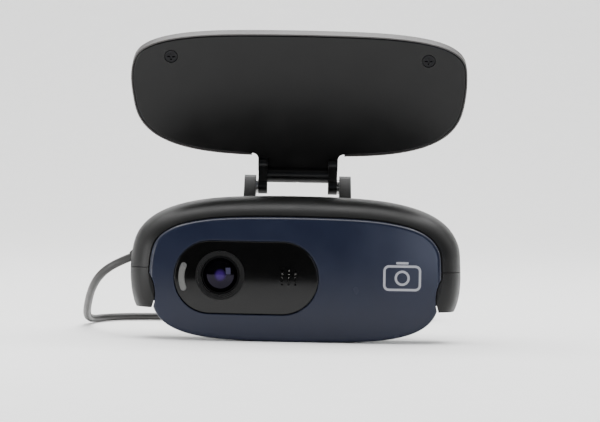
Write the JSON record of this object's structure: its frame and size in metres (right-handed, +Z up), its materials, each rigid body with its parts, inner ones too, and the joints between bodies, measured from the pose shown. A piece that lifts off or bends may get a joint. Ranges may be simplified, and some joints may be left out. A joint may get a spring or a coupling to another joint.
{
  "type": "webcam with screen clip",
  "caption": "Wide webcam head with a lens window, perched by its saddle, its rear clip flap raised on a friction hinge, with a coiled USB cable.",
  "frame": {"origin": "centre of the saddle pad's underside, where the head rests on a screen's top edge", "axes": "+Z up, -Y is the front that the lens faces, +X along the wide body to the viewer's right"},
  "size_m": [0.0855, 0.0931, 0.0667],
  "materials": {
    "casing": "fine satin texture, injection-moulded ABS",
    "face": "high gloss dark blue-grey",
    "window": "polished black, tinted",
    "lens_black": "matt black moulding",
    "lens_glass": "coated optical glass",
    "filter_glass": "thin coated glass",
    "light_pipe": "milky clear acrylic",
    "board": "green solder resist",
    "chip": "moulded epoxy",
    "silver": "plated steel",
    "rubber": "matt rubber",
    "pale_plastic": "natural nylon",
    "flap_front": "satin black ABS",
    "flap_back": "satin grey-brown ABS",
    "steel": "ground steel pin",
    "screw": "black zinc",
    "cable": "soft PVC, slight sheen",
    "wire": "PVC insulation",
    "plug_metal": "nickel-plated steel",
    "gold": "gold-plated contacts",
    "sensor": "silicon under glass"
  },
  "bodies": {
    "head": {"top_shell": "casing", "bottom_shell": "casing", "face_plate": "face", "lens_window": "window", "window_gasket": "rubber", "lens_trim_ring": "lens_black", "lens_barrel": "lens_black", "front_lens": "lens_glass", "rear_lens": "lens_glass", "lens_holder": "lens_black", "infrared_filter": "filter_glass", "image_sensor": "sensor", "circuit_board": "board", "processor_chip": "chip", "memory_chip": "chip", "crystal_can": "silver", "board_components": "chip", "indicator_led": "pale_plastic", "light_pipe": "light_pipe", "microphone_capsule": "silver", "microphone_boot": "rubber", "cable_header": "pale_plastic", "header_plug": "pale_plastic", "inner_wires": "wire", "cable_inner_end": "cable", "cable_grommet": "rubber", "cable_clamp": "pale_plastic", "board_screws": "screw", "casing_screws": "screw", "saddle_pad": "rubber", "lip_pad": "rubber", "hinge_pin_left": "steel", "hinge_pin_right": "steel", "friction_washers": "steel", "usb_cable": "cable", "usb_cable_tail": "cable", "usb_cable_coil": "cable", "cable_tie": "chip", "usb_plug_grip": "rubber", "usb_plug_shell": "plug_metal", "usb_plug_tongue": "chip", "usb_plug_contacts": "gold"},
    "flap": {"flap_panel": "flap_front", "flap_back_shell": "flap_back", "flap_grip_pad": "rubber", "flap_screws": "screw"}
  },
  "joints": [
    {"name": "flap_hinge", "type": "hinge", "parent": "head", "child": "flap", "pos_m": [0, 0.01901, 0.0252], "axis": [-1, 0, 0], "range_deg": [-45, 227]}
  ]
}
